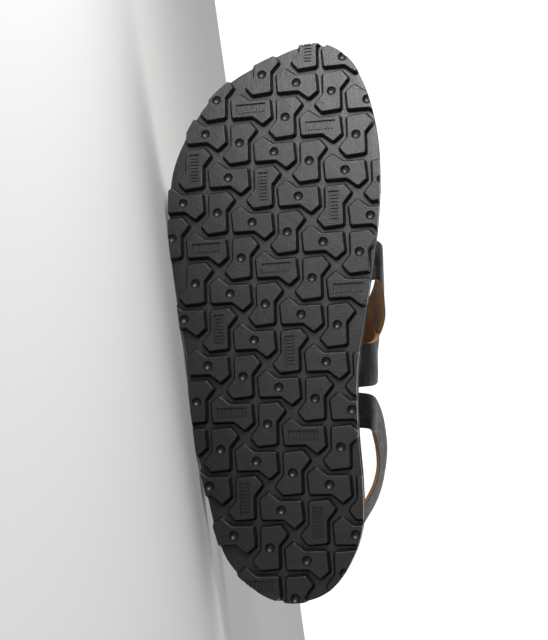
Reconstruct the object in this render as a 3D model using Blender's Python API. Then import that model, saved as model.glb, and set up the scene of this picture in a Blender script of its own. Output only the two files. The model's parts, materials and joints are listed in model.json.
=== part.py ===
"""Leather sandal, right foot: lugged rubber sole, crossed instep straps and a buckled heel strap.

It is modelled standing on its sole, with x from heel to toe, y to the big-toe side and z up.
At the end it is laid on its little-toe side, resting on the sole's edge and on its straps.
"""

import math

import bmesh
import bpy
import numpy as np
from mathutils import Matrix, Vector

# Driving sizes of the sole, in metres
LENGTH = 0.280
BALL_WIDTH = 0.110
HEEL_STACK = 0.025
FOREFOOT_STACK = 0.0175
TOE_SPRING = 0.004
TREAD_SHEET = 0.003
LUG_DEPTH = 0.003
LUG_PITCH = 0.01892
INSOLE_THICKNESS = 0.0022
HEEL_CUP = 0.003
ARCH_RISE = 0.004
SIDE_STEP = 0.0005

# Driving sizes of the foot form and the straps, in metres
INSTEP_HEIGHT = 0.066
TOE_BOX_HEIGHT = 0.034
HEEL_STRAP_HEIGHT = 0.060
STRAP_WIDTH = 0.022
HEEL_STRAP_WIDTH = 0.018
STRAP_THICKNESS = 0.0024
HEEL_STRAP_THICKNESS = 0.0020
STRAP_INSET = 0.0044
SLOT_DEPTH = 0.0055
STRAIGHT_RISE = 0.0012
STRAP_END_OVERLAP = 0.020
STRAP_END_POINT = 0.006

# Driving sizes of the buckle, in metres
BUCKLE_WIRE = 0.0016
BUCKLE_LENGTH = 0.018
BUCKLE_SIDE_PLAY = 0.0008
BUCKLE_CORNER = 0.0025
PRONG_WIRE = 0.0014
PRONG_HOLE_LENGTH = 0.0046
BUCKLE_SHARE = 0.87
# Where the heel strap starts and ends its rise over the side tab, in buckle lengths from the bar
LIFT_START = 1.6
LIFT_END = 0.2

# Clearances, in metres
FIT_GAP = 0.0003

# The sole's outline: share of the length, then each edge's reach as a share of the ball width
OUTLINE = (
    # share, little-toe side, big-toe side
    (0.000, -0.018, 0.030),
    (0.018, 0.133, 0.174),
    (0.071, 0.275, 0.284),
    (0.125, 0.328, 0.336),
    (0.200, 0.368, 0.346),
    (0.300, 0.414, 0.338),
    (0.400, 0.426, 0.351),
    (0.500, 0.459, 0.403),
    (0.600, 0.490, 0.456),
    (0.700, 0.497, 0.492),
    (0.780, 0.475, 0.501),
    (0.840, 0.412, 0.490),
    (0.900, 0.311, 0.459),
    (0.950, 0.162, 0.408),
    (0.982, -0.020, 0.335),
    (1.000, -0.200, 0.209),
)
FLAT_END = 0.70
WAIST_START = 0.30
WAIST_END = 0.66
SOLE_ROWS = 32
SOLE_COLUMNS = (-1.0, -0.82, -0.5, 0.0, 0.5, 0.82, 1.0)
CUP_FADE = (0.15, 0.50)
ARCH_START = (0.20, 0.42)
ARCH_END = (0.46, 0.66)
EDGE_SHARE_STEP = 0.004

# One lug, seen from below: corners as shares of the pitch, to the big-toe side and to the heel
LUG_CORNERS = (
    # across, back
    (-0.329, -0.453),
    (-0.049, -0.221),
    (0.512, -0.221),
    (0.550, 0.275),
    (0.329, 0.453),
    (0.049, 0.221),
    (-0.512, 0.221),
    (-0.550, -0.275),
)
LUG_DRAFT = 1.07
LUG_EDGE_STEP = 0.0004
LUG_TURN = math.radians(0.8)
GRID_TURN = math.radians(19.8)
GRID_ORIGIN_SHARE = 0.799
GRID_ORIGIN_ACROSS = 0.020
GRID_REACH = 16
EDGE_LUG_SHARE = 0.28

# Instep straps: share of the length, reach as a share of the local half width, height as a share
# of the foot form's height there. The first and last rows are the strap's feet, at the sole's edge.
CROSS_STRAP_UNDER = (
    # along, across, up
    (0.598, 1.00, 0.00),
    (0.596, 0.99, 0.12),
    (0.583, 1.00, 0.28),
    (0.558, 1.00, 0.46),
    (0.530, 0.98, 0.62),
    (0.505, 0.88, 0.79),
    (0.486, 0.66, 0.93),
    (0.473, 0.30, 1.01),
    (0.463, -0.12, 1.00),
    (0.453, -0.54, 0.93),
    (0.443, -0.86, 0.76),
    (0.435, -1.03, 0.54),
    (0.427, -1.08, 0.32),
    (0.420, -1.00, 0.00),
)
CROSS_STRAP_OVER = (
    # along, across, up
    (0.740, -1.00, 0.00),
    (0.736, -0.99, 0.28),
    (0.724, -0.93, 0.55),
    (0.696, -0.78, 0.80),
    (0.650, -0.52, 0.97),
    (0.598, -0.16, 1.07),
    (0.548, 0.24, 1.08),
    (0.500, 0.62, 0.98),
    (0.462, 0.90, 0.76),
    (0.434, 1.04, 0.50),
    (0.416, 1.05, 0.26),
    (0.408, 1.00, 0.00),
)
VAMP_STRAP = (
    # along, across, up
    (0.770, 0.97, 0.00),
    (0.767, 0.91, 0.36),
    (0.758, 0.83, 0.66),
    (0.740, 0.58, 0.90),
    (0.712, 0.16, 0.99),
    (0.680, -0.34, 0.97),
    (0.650, -0.76, 0.80),
    (0.628, -0.99, 0.52),
    (0.615, -1.04, 0.30),
    (0.610, -1.00, 0.00),
)

# Heel loop: share of the length, reach as a share of the heel's half width, height as a share
# of the heel strap's height above the footbed. Its feet are at the sole's edge too.
HEEL_LOOP = (
    # along, across, up
    (0.329, 1.00, 0.00),
    (0.325, 1.07, 0.20),
    (0.310, 1.10, 0.40),
    (0.276, 1.11, 0.58),
    (0.230, 1.09, 0.74),
    (0.180, 0.97, 0.86),
    (0.128, 0.76, 0.95),
    (0.075, 0.46, 1.00),
    (0.045, 0.00, 1.02),
    (0.055, -0.38, 1.02),
    (0.105, -0.66, 1.00),
    (0.162, -0.86, 0.96),
    (0.210, -0.97, 0.87),
    (0.252, -1.02, 0.72),
    (0.290, -1.04, 0.50),
    (0.322, -1.03, 0.26),
    (0.336, -1.00, 0.00),
)
# The foot form: where its instep comes down to the toe box, how high its middle lies as a share
# of its height, the share of the length ahead of which the heel is no longer round, and how far
# the heel strap's upper edge leans out on the big-toe side, as a share of its width, in full from
# FLARE_START metres beside the heel's middle
INSTEP_FALL = (0.36, 0.80)
FOOT_AXIS_HEIGHT = 0.25
ROUND_HEEL_END = 0.20
HEEL_STRAP_FLARE = 0.24
FLARE_START = 0.02

STRAP_RISE = 0.008
HEEL_STRAP_RISE = 0.006
CURVE_STEPS = 24
STRAP_STEPS = 26
HEEL_STEPS = 44
TAB_STEPS = 9
WIRE_SIDES = 8
CORNER_STEPS = 3

# The least sideways lean of a hull face that the sandal may lie on
SIDE_LEAN = 0.8

# Weights of the materials, in kilograms per cubic metre, for where the sandal's balance lies
DENSITY = {"outsole": 1150, "midsole": 300, "insole": 860, "leather": 860, "metal": 7800}

for old in list(bpy.data.objects):
    bpy.data.objects.remove(old)


def material(name, colour, roughness, metallic=0.0):
    """A plain surface in the part's own colour, given in linear light."""
    made = bpy.data.materials.new(name)
    made.use_nodes = True
    shader = made.node_tree.nodes["Principled BSDF"]
    shader.inputs["Base Color"].default_value = (*colour, 1.0)
    shader.inputs["Roughness"].default_value = roughness
    shader.inputs["Metallic"].default_value = metallic
    made.diffuse_color = (*colour, 1.0)
    return made


def mesh_object(name, bm, finish):
    """Turns a bmesh into a named object with one material and faces pointing out."""
    bmesh.ops.remove_doubles(bm, verts=bm.verts, dist=0.00001)
    bmesh.ops.recalc_face_normals(bm, faces=bm.faces)
    mesh = bpy.data.meshes.new(name)
    bm.to_mesh(mesh)
    bm.free()
    made = bpy.data.objects.new(name, mesh)
    bpy.context.scene.collection.objects.link(made)
    if finish:
        mesh.materials.append(finish)
    return made


def combine(target, tool, operation):
    """Joins or cuts the target with the tool, and removes the tool."""
    step = target.modifiers.new(operation.lower(), "BOOLEAN")
    step.operation = operation
    step.object = tool
    step.solver = "EXACT"
    bpy.context.view_layer.update()
    graph = bpy.context.evaluated_depsgraph_get()
    made = bpy.data.meshes.new_from_object(target.evaluated_get(graph))
    target.modifiers.clear()
    target.data = made
    bpy.data.objects.remove(tool)


# The sole's form

def smoothstep(low, high, value):
    """Rises smoothly from 0 at low to 1 at high."""
    t = min(1.0, max(0.0, (value - low) / (high - low)))
    return t * t * (3 - 2 * t)


def round_share(share):
    """An angle that runs evenly round the blunt ends of the sole."""
    return math.acos(1 - 2 * min(1.0, max(0.0, share)))


def read_column(table, column, share):
    """A smooth curve through one column of a table whose first column is the share of the length."""
    places = [round_share(row[0]) for row in table]
    values = [row[column] for row in table]
    here = round_share(share)
    last = len(places) - 2
    i = min(last, max(0, sum(place <= here for place in places) - 1))

    def slope(k):
        low, high = max(0, k - 1), min(len(places) - 1, k + 1)
        return (values[high] - values[low]) / (places[high] - places[low])

    span = places[i + 1] - places[i]
    t = (here - places[i]) / span
    a, b = slope(i) * span, slope(i + 1) * span
    rise = values[i + 1] - values[i]
    return values[i] + t * (a + t * (3 * rise - 2 * a - b + t * (a + b - 2 * rise)))


def edge(share, side):
    """A point of the sole's outline: side is -1 for the little toe's and 1 for the big toe's."""
    reach = read_column(OUTLINE, 1 if side < 0 else 2, share) * BALL_WIDTH
    return Vector((share * LENGTH, side * reach, 0.0))


def edge_out(share, side):
    """The level direction that points straight out of the sole's edge."""
    step = EDGE_SHARE_STEP
    if share < step:
        return Vector((-1.0, 0.0, 0.0))
    if share > 1 - step:
        return Vector((1.0, 0.0, 0.0))
    along = edge(share + step, side) - edge(share - step, side)
    return Vector((-side * along.y, side * along.x, 0.0)).normalized()


def spring(share):
    """How far the toe is raised off the floor."""
    return TOE_SPRING * max(0.0, (share - FLAT_END) / (1 - FLAT_END)) ** 2


def midsole_top(share, across):
    """Height of the midsole's upper face: a heel cup, an arch and a lower forefoot."""
    drop = smoothstep(WAIST_START, WAIST_END, share)
    stack = HEEL_STACK + (FOREFOOT_STACK - HEEL_STACK) * drop
    cup = HEEL_CUP * across**4 * (1 - smoothstep(*CUP_FADE, share))
    bulge = smoothstep(*ARCH_START, share) * (1 - smoothstep(*ARCH_END, share))
    arch = ARCH_RISE * max(0.0, across) ** 2 * bulge
    return stack - INSOLE_THICKNESS + cup + arch + spring(share)


def insole_top(share, across):
    """Height of the footbed that the foot stands on."""
    return midsole_top(share, across) + FIT_GAP + INSOLE_THICKNESS


def sole_row(share, outset):
    """The points across the sole at one share of its length, with the edge moved out."""
    low = edge(share, -1) + edge_out(share, -1) * outset
    high = edge(share, 1) + edge_out(share, 1) * outset
    return [low.lerp(high, (across + 1) / 2) for across in SOLE_COLUMNS]


def slab(name, levels, finish):
    """A layer of the sole, closed between its lowest and highest level.

    Each level is how far its edge stands out and its height, as a function of share and across.
    """
    bm = bmesh.new()
    shares = [(1 - math.cos(math.pi * r / SOLE_ROWS)) / 2 for r in range(SOLE_ROWS + 1)]
    grids = []
    for outset, height in levels:
        grid = []
        for r, share in enumerate(shares):
            row = sole_row(share, outset)
            if r in (0, SOLE_ROWS):
                point = row[len(row) // 2]
                vert = bm.verts.new((point.x, point.y, height(share, 1.0)))
                grid.append([vert] * len(row))
            else:
                grid.append(
                    [
                        bm.verts.new((p.x, p.y, height(share, across)))
                        for p, across in zip(row, SOLE_COLUMNS)
                    ]
                )
        grids.append(grid)

    def face(corners):
        kept = list(dict.fromkeys(corners))
        if len(kept) > 2:
            bm.faces.new(kept)

    for grid in (grids[0], grids[-1]):
        for r in range(SOLE_ROWS):
            for c in range(len(SOLE_COLUMNS) - 1):
                face((grid[r][c], grid[r][c + 1], grid[r + 1][c + 1], grid[r + 1][c]))
    for low, high in zip(grids, grids[1:]):
        for r in range(SOLE_ROWS):
            for c in (0, -1):
                face((low[r][c], low[r + 1][c], high[r + 1][c], high[r][c]))
    loose = [v for v in bm.verts if not v.link_faces]
    bmesh.ops.delete(bm, geom=loose, context="VERTS")
    return mesh_object(name, bm, finish)


def lug_shape(bm, centre, upright):
    """One tapering lug: its face on the floor, its wider root inside the tread sheet."""
    across = Vector((-math.sin(LUG_TURN), math.cos(LUG_TURN), 0.0))
    back = Vector((-math.cos(LUG_TURN), -math.sin(LUG_TURN), 0.0))
    rings = []
    for height, scale in ((0.0, 1.0), (LUG_DEPTH + TREAD_SHEET / 2, LUG_DRAFT)):
        ring = []
        for u, v in LUG_CORNERS:
            if upright:
                u, v = -v, u
            point = centre + (across * u + back * v) * (LUG_PITCH * scale)
            ring.append(bm.verts.new((point.x, point.y, height)))
        rings.append(ring)
    bm.faces.new(rings[0])
    bm.faces.new(rings[1])
    for k in range(len(LUG_CORNERS)):
        n = (k + 1) % len(LUG_CORNERS)
        bm.faces.new((rings[0][k], rings[0][n], rings[1][n], rings[1][k]))


def inside_sole(point, margin):
    """Whether a level point lies inside the outline by at least the margin."""
    share = point.x / LENGTH
    if not 0.0 < share < 1.0:
        return False
    return edge(share, -1).y + margin < point.y < edge(share, 1).y - margin


def lug_centres():
    """Centres of the lugs on their turned square grid, and whether each one stands upright."""
    first = Vector((-math.sin(GRID_TURN), math.cos(GRID_TURN), 0.0)) * LUG_PITCH
    second = Vector((-math.cos(GRID_TURN), -math.sin(GRID_TURN), 0.0)) * LUG_PITCH
    origin = Vector((GRID_ORIGIN_SHARE * LENGTH, GRID_ORIGIN_ACROSS * BALL_WIDTH, 0.0))
    for i in range(-GRID_REACH, GRID_REACH + 1):
        for j in range(-GRID_REACH, GRID_REACH + 1):
            centre = origin + first * i + second * j
            if inside_sole(centre, -LUG_PITCH * EDGE_LUG_SHARE):
                yield centre, (i + j) % 2 == 1


def make_outsole(finish):
    """The tread sheet with its interlocking lugs, cut flush with the outline and sprung at the toe."""
    bm = bmesh.new()
    for centre, upright in lug_centres():
        lug_shape(bm, centre, upright)
    lugs = mesh_object("lugs", bm, None)
    inside = slab(
        "lug_trim",
        [(-LUG_EDGE_STEP, lambda s, a: -LUG_DEPTH), (-LUG_EDGE_STEP, lambda s, a: LUG_DEPTH * 3)],
        None,
    )
    combine(lugs, inside, "INTERSECT")
    top = LUG_DEPTH + TREAD_SHEET
    sheet = slab("outsole", [(0.0, lambda s, a: LUG_DEPTH), (0.0, lambda s, a: top)], finish)
    combine(sheet, lugs, "UNION")
    for vert in sheet.data.vertices:
        vert.co.z += spring(vert.co.x / LENGTH)
    return sheet


def make_midsole(finish):
    """The foam layer: a stepped wall, a cupped heel and an arch."""
    foot = LUG_DEPTH + TREAD_SHEET + FIT_GAP

    def level(raise_from_foot):
        return lambda s, a: foot + raise_from_foot + spring(s)

    def below_top(drop):
        return lambda s, a: midsole_top(s, a) - drop

    step = SIDE_STEP
    return slab(
        "midsole",
        [
            (-step, level(0.0)),
            (step, level(2 * step)),
            (step, below_top(4 * step)),
            (-step, below_top(0.0)),
        ],
        finish,
    )


def make_insole(finish):
    """The leather footbed cover, a little inside the midsole's rim."""
    inset = -2 * SIDE_STEP
    return slab(
        "insole",
        [(inset, lambda s, a: midsole_top(s, a) + FIT_GAP), (inset, insole_top)],
        finish,
    )


# The foot form and the straps over it

def form_height(share):
    """Height of the foot form above the footbed, from the toe box up to the instep."""
    rise = 1 - smoothstep(*INSTEP_FALL, share)
    return TOE_BOX_HEIGHT + (INSTEP_HEIGHT - TOE_BOX_HEIGHT) * rise


def middle(share):
    """The point midway across the sole, on the floor."""
    return (edge(share, -1) + edge(share, 1)) / 2


def half_width(share):
    return (edge(share, 1).y - edge(share, -1).y) / 2


def strap_foot(share, side):
    """Where a strap enters the sole, with the outward direction there."""
    out = edge_out(share, side)
    point = edge(share, side) - out * STRAP_INSET
    point.z = midsole_top(share, side)
    return point, out


def over_foot(row):
    """A point of an instep strap, from its row of shares."""
    share, across, up = row
    point = middle(share) + Vector((0, half_width(share) * across, 0))
    point.z = insole_top(share, 0.0) + form_height(share) * up
    return point


def round_heel(row):
    """A point of the heel strap, from its row of shares."""
    share, across, up = row
    heel = half_width(WAIST_START)
    centre = middle(WAIST_START).y
    return Vector(
        (share * LENGTH, centre + heel * across, HEEL_STACK + HEEL_STRAP_HEIGHT * up)
    )


def smooth_path(points, start, steps):
    """Evenly spaced points on a smooth curve through the given ones, leaving along start."""
    knots = [points[0] - start, *points]
    knots.append(points[-1] * 2 - points[-2])
    fine = []
    for i in range(1, len(knots) - 2):
        a, b, c, d = knots[i - 1 : i + 3]
        for k in range(CURVE_STEPS):
            t = k / CURVE_STEPS
            fine.append(
                (
                    b * 2
                    + (c - a) * t
                    + (a * 2 - b * 5 + c * 4 - d) * t**2
                    + (b * 3 - a - c * 3 + d) * t**3
                )
                / 2
            )
    fine.append(points[-1])
    lengths = [0.0]
    for a, b in zip(fine, fine[1:]):
        lengths.append(lengths[-1] + (b - a).length)
    wanted = [lengths[-1] * k / steps for k in range(steps + 1)]
    columns = [np.interp(wanted, lengths, [p[axis] for p in fine]) for axis in range(3)]
    return [Vector(point) for point in zip(*columns)]


def strap_frames(points, axis_of):
    """Width and outward directions along a strap, outward being away from the foot's middle."""
    frames = []
    for i, point in enumerate(points):
        along = (points[min(i + 1, len(points) - 1)] - points[max(i - 1, 0)]).normalized()
        out = point - axis_of(point)
        out = (out - along * out.dot(along)).normalized()
        frames.append((along.cross(out), out))
    return frames


def foot_axis(point):
    """The middle of the foot form beside a point of an instep strap."""
    share = point.x / LENGTH
    centre = middle(share)
    return Vector((point.x, centre.y, insole_top(share, 0.0) + form_height(share) * FOOT_AXIS_HEIGHT))


def heel_axis(point):
    """The middle of the heel beside a point of the heel strap, raised by the strap's flare."""
    centre = middle(ROUND_HEEL_END)
    x = centre.x if point.x < centre.x else point.x
    reach = math.hypot(point.x - x, point.y - centre.y)
    flare = HEEL_STRAP_FLARE * smoothstep(-FLARE_START, FLARE_START, point.y - centre.y)
    return Vector((x, centre.y, point.z + reach * flare))


def strap_solid(name, stations, width, thickness, finish):
    """A leather strap of real thickness, its flesh side on the given points.

    Each station is a point, its width and outward directions, and the share of the width kept.
    """
    bm = bmesh.new()
    rings = []
    for point, wide, out, kept in stations:
        half = width / 2 * kept
        corners = ((-half, 0.0), (half, 0.0), (half, thickness), (-half, thickness))
        rings.append([bm.verts.new(point + wide * w + out * h) for w, h in corners])
    bm.faces.new(rings[0])
    bm.faces.new(rings[-1])
    for a, b in zip(rings, rings[1:]):
        for k in range(4):
            n = (k + 1) % 4
            bm.faces.new((a[k], a[n], b[n], b[k]))
    return mesh_object(name, bm, finish)


def rooted(points, frames, share, side, at_start):
    """Adds the straight foot that stands in the sole's slot to one end of a strap."""
    point, out = strap_foot(share, side)
    wide = frames[0][0] if at_start else frames[-1][0]
    level = Vector((-out.y, out.x, 0.0))
    level = level if level.dot(wide) > 0 else -level
    foot = point - Vector((0, 0, SLOT_DEPTH - FIT_GAP))
    if at_start:
        points[0] = point + Vector((0, 0, INSOLE_THICKNESS + STRAIGHT_RISE))
        return [foot, *points], [(level, out), (level, out), *frames[1:]]
    points[-1] = point + Vector((0, 0, INSOLE_THICKNESS + STRAIGHT_RISE))
    return [*points, foot], [*frames[:-1], (level, out), (level, out)]


def instep_strap(name, table, finish):
    """A strap over the instep, with a foot in the sole at both ends."""
    sides = [1 if row[1] > 0 else -1 for row in (table[0], table[-1])]
    points = [over_foot(row) for row in table]
    for end, side in zip((0, -1), sides):
        points[end] = strap_foot(table[end][0], side)[0]
        points[end].z += INSOLE_THICKNESS + STRAIGHT_RISE
    points = smooth_path(points, Vector((0, 0, STRAP_RISE)), STRAP_STEPS)
    frames = strap_frames(points, foot_axis)
    points, frames = rooted(points, frames, table[0][0], sides[0], True)
    points, frames = rooted(points, frames, table[-1][0], sides[1], False)
    stations = [(point, *frame, 1.0) for point, frame in zip(points, frames)]
    return strap_solid(name, stations, STRAP_WIDTH, STRAP_THICKNESS, finish)


def make_upper(finish):
    """The three instep straps, joined where they cross."""
    upper = instep_strap("upper", CROSS_STRAP_UNDER, finish)
    for name, table in (("over", CROSS_STRAP_OVER), ("vamp", VAMP_STRAP)):
        combine(upper, instep_strap(name, table, finish), "UNION")
    return upper


# The heel strap and its buckle

def heel_route():
    """Distances, points and frames along the whole loop round the heel, from foot to foot."""
    points = [round_heel(row) for row in HEEL_LOOP]
    for end, side in ((0, 1), (-1, -1)):
        points[end] = strap_foot(HEEL_LOOP[end][0], side)[0]
        points[end].z += INSOLE_THICKNESS + STRAIGHT_RISE
    points = smooth_path(points, Vector((0, 0, HEEL_STRAP_RISE)), HEEL_STEPS)
    frames = strap_frames(points, heel_axis)
    points, frames = rooted(points, frames, HEEL_LOOP[0][0], 1, True)
    points, frames = rooted(points, frames, HEEL_LOOP[-1][0], -1, False)
    places = [0.0]
    for a, b in zip(points, points[1:]):
        places.append(places[-1] + (b - a).length)
    return places, points, frames


def at_place(route, place):
    """The point, width direction and outward direction at a distance along the route."""
    places, points, frames = route
    i = max(k for k in range(len(places) - 1) if places[k] <= place or k == 0)
    t = (place - places[i]) / (places[i + 1] - places[i])
    wide = frames[i][0].lerp(frames[i + 1][0], t).normalized()
    out = frames[i][1].lerp(frames[i + 1][1], t).normalized()
    return points[i].lerp(points[i + 1], t), wide, out


def strap_lift(place, bar):
    """How far the heel strap stands off its route, so that it passes over the side tab."""
    over = HEEL_STRAP_THICKNESS + FIT_GAP
    return over * smoothstep(bar - LIFT_START * BUCKLE_LENGTH, bar - LIFT_END * BUCKLE_LENGTH, place)


def make_heel_strap(route, bar, finish):
    """The strap from its foot round the heel, through the buckle to its pointed end."""
    places = route[0]
    tip = bar + STRAP_END_OVERLAP
    wanted = [p for p in places if p < tip - STRAP_END_POINT]
    stations = []
    for place, kept in [(p, 1.0) for p in wanted] + [
        (tip - STRAP_END_POINT, 1.0),
        (tip - STRAP_END_POINT / 3, 0.72),
        (tip, 0.34),
    ]:
        point, wide, out = at_place(route, place)
        stations.append((point + out * strap_lift(place, bar), wide, out, kept))
    return strap_solid("heel_strap", stations, HEEL_STRAP_WIDTH, HEEL_STRAP_THICKNESS, finish)


def make_side_tab(route, bar, finish):
    """The short tab that comes out of the sole and holds the buckle's bar."""
    foot = route[0][-2]
    middle_of_bar, along, wide, out, _ = buckle_place(route, bar)
    clear = BUCKLE_WIRE / 2 + FIT_GAP
    first = middle_of_bar - out * HEEL_STRAP_THICKNESS / 2 - along * clear
    stations = [(first, wide, out, 1.0)]
    for k in range(1, TAB_STEPS + 1):
        place = bar + clear + (foot - bar - clear) * k / TAB_STEPS
        stations.append((*at_place(route, place), 1.0))
    stations.append((*at_place(route, route[0][-1]), 1.0))
    return strap_solid("side_tab", stations, HEEL_STRAP_WIDTH, HEEL_STRAP_THICKNESS, finish)


def wire(name, points, normal, thickness, closed, finish):
    """A round wire along points that lie in one plane."""
    bm = bmesh.new()
    rings = []
    count = len(points)
    for i, point in enumerate(points):
        after = points[(i + 1) % count] if closed else points[min(i + 1, count - 1)]
        before = points[i - 1] if closed else points[max(i - 1, 0)]
        side = (after - before).normalized().cross(normal)
        ring = []
        for k in range(WIRE_SIDES):
            angle = 2 * math.pi * k / WIRE_SIDES
            offset = normal * math.cos(angle) + side * math.sin(angle)
            ring.append(bm.verts.new(point + offset * thickness / 2))
        rings.append(ring)
    pairs = list(zip(rings, rings[1:]))
    if closed:
        pairs.append((rings[-1], rings[0]))
    else:
        bm.faces.new(rings[0])
        bm.faces.new(rings[-1])
    for a, b in pairs:
        for k in range(WIRE_SIDES):
            n = (k + 1) % WIRE_SIDES
            bm.faces.new((a[k], a[n], b[n], b[k]))
    return mesh_object(name, bm, finish)


def buckle_place(route, bar):
    """The buckle's own frame: the middle of its bar, under the strap, and its directions.

    Along runs from the bar to the middle of the far rail, which lies over the strap.
    """
    point, wide, out = at_place(route, bar)
    bar_middle = point + out * HEEL_STRAP_THICKNESS / 2
    rail = bar - BUCKLE_LENGTH
    point, _, rail_out = at_place(route, rail)
    height = strap_lift(rail, bar) + HEEL_STRAP_THICKNESS + FIT_GAP + BUCKLE_WIRE / 2
    along = point + rail_out * height - bar_middle
    reach = along.length
    along.normalize()
    wide = (wide - along * wide.dot(along)).normalized()
    out = (out - along * out.dot(along) - wide * out.dot(wide)).normalized()
    return bar_middle, along, wide, out, reach


def make_buckle_frame(route, bar, finish):
    """A rounded oblong of wire: its bar under the strap and its far rail over it."""
    bar_middle, along, wide, out, reach = buckle_place(route, bar)
    half = HEEL_STRAP_WIDTH / 2 + BUCKLE_SIDE_PLAY + BUCKLE_WIRE / 2
    r = BUCKLE_CORNER
    points = []
    for turn, (w, a) in enumerate(
        ((half - r, reach - r), (-half + r, reach - r), (-half + r, r), (half - r, r))
    ):
        for k in range(CORNER_STEPS + 1):
            angle = (turn + k / CORNER_STEPS) * math.pi / 2
            corner = wide * (w + r * math.cos(angle)) + along * (a + r * math.sin(angle))
            points.append(bar_middle + corner)
    return wire("buckle_frame", points, out, BUCKLE_WIRE, True, finish)


def make_prong(route, bar, finish):
    """The prong: from the bar up through the strap's hole and onto the far rail."""
    bar_middle, along, wide, out, reach = buckle_place(route, bar)
    clear = (BUCKLE_WIRE + PRONG_WIRE) / 2 + FIT_GAP
    over_strap = strap_lift(bar, bar) + HEEL_STRAP_THICKNESS / 2 + FIT_GAP + PRONG_WIRE / 2
    spots = (
        # towards the rail, out
        (clear, 0.0),
        (clear + PRONG_WIRE * 0.4, over_strap * 0.4),
        (clear + PRONG_WIRE * 1.1, over_strap * 0.9),
        (clear + PRONG_WIRE * 2.3, over_strap),
        (reach * 0.65, max(over_strap * 0.72, clear)),
        (reach, clear),
        (reach + BUCKLE_WIRE, clear - PRONG_WIRE * 0.3),
    )
    points = [bar_middle + along * a + out * u for a, u in spots]
    return wire("buckle_prong", points, wide, PRONG_WIRE, False, finish)


def cut_prong_hole(strap, route, bar):
    """Cuts the hole that the prong stands in."""
    clear = (BUCKLE_WIRE + PRONG_WIRE) / 2 + FIT_GAP
    place = bar - clear - PRONG_WIRE * 0.9
    point, wide, out = at_place(route, place)
    along = wide.cross(out)
    half_wide = PRONG_WIRE / 2 + FIT_GAP
    half_long = PRONG_HOLE_LENGTH / 2
    bm = bmesh.new()
    rings = []
    for height in (-HEEL_STRAP_THICKNESS, HEEL_STRAP_THICKNESS * 4):
        rings.append(
            [
                bm.verts.new(point + wide * w * half_wide + along * a * half_long + out * height)
                for w, a in ((-1, -1), (1, -1), (1, 1), (-1, 1))
            ]
        )
    bm.faces.new(rings[0])
    bm.faces.new(rings[1])
    for k in range(4):
        n = (k + 1) % 4
        bm.faces.new((rings[0][k], rings[0][n], rings[1][n], rings[1][k]))
    combine(strap, mesh_object("prong_hole", bm, None), "DIFFERENCE")


# Where the straps go into the sole

def slot_cutter(share, side, width, thickness, open_outside):
    """The room that a strap's foot needs in the sole, or a notch open to the edge."""
    point, out = strap_foot(share, side)
    level = Vector((-out.y, out.x, 0.0))
    inner = -FIT_GAP
    outer = thickness + FIT_GAP
    if open_outside:
        outer += STRAP_INSET
    half = width / 2 + FIT_GAP
    bm = bmesh.new()
    rings = []
    for z in (point.z - SLOT_DEPTH, point.z + HEEL_STACK):
        ring = []
        for w, h in ((-half, inner), (half, inner), (half, outer), (-half, outer)):
            spot = point + level * w + out * h
            ring.append(bm.verts.new((spot.x, spot.y, z)))
        rings.append(ring)
    bm.faces.new(rings[0])
    bm.faces.new(rings[1])
    for k in range(4):
        n = (k + 1) % 4
        bm.faces.new((rings[0][k], rings[0][n], rings[1][n], rings[1][k]))
    return mesh_object("slot", bm, None)


def cut_slots(midsole, insole):
    """Cuts the sole wherever a strap goes into it."""
    feet = []
    for table, width, thickness in (
        (CROSS_STRAP_UNDER, STRAP_WIDTH, STRAP_THICKNESS),
        (CROSS_STRAP_OVER, STRAP_WIDTH, STRAP_THICKNESS),
        (VAMP_STRAP, STRAP_WIDTH, STRAP_THICKNESS),
        (HEEL_LOOP, HEEL_STRAP_WIDTH, HEEL_STRAP_THICKNESS),
    ):
        for row in (table[0], table[-1]):
            feet.append((row[0], 1 if row[1] > 0 else -1, width, thickness))
    for share, side, width, thickness in feet:
        for layer, open_outside in ((midsole, False), (insole, True)):
            cutter = slot_cutter(share, side, width, thickness, open_outside)
            combine(layer, cutter, "DIFFERENCE")


# Laying the finished sandal on its side

def balance_point(objects):
    """The sandal's centre of mass, from each solid's volume and its material's density."""
    total, moment = 0.0, Vector((0, 0, 0))
    for item, density in objects:
        bm = bmesh.new()
        bm.from_mesh(item.data)
        bmesh.ops.triangulate(bm, faces=bm.faces)
        for face in bm.faces:
            a, b, c = (v.co for v in face.verts)
            weight = a.dot(b.cross(c)) / 6 * density
            total += weight
            moment += (a + b + c) / 4 * weight
        bm.free()
    return moment / total


def resting_face(objects, centre):
    """The outward direction of the hull's face on which the sandal lies on its little-toe side."""
    bm = bmesh.new()
    for item, _ in objects:
        for vert in item.data.vertices:
            bm.verts.new(vert.co)
    bmesh.ops.convex_hull(bm, input=bm.verts)
    best, found = -1.0, Vector((0, -1, 0))
    for face in bm.faces:
        if face.normal.y > -SIDE_LEAN:
            continue
        foot = centre + face.normal * (face.verts[0].co - centre).dot(face.normal)
        corners = [v.co for v in face.verts]
        inside = min(
            (b - a).cross(foot - a).dot(face.normal) / (b - a).length
            for a, b in zip(corners, corners[1:] + corners[:1])
        )
        if inside > best:
            best, found = inside, face.normal.copy()
    bm.free()
    return found


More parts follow.
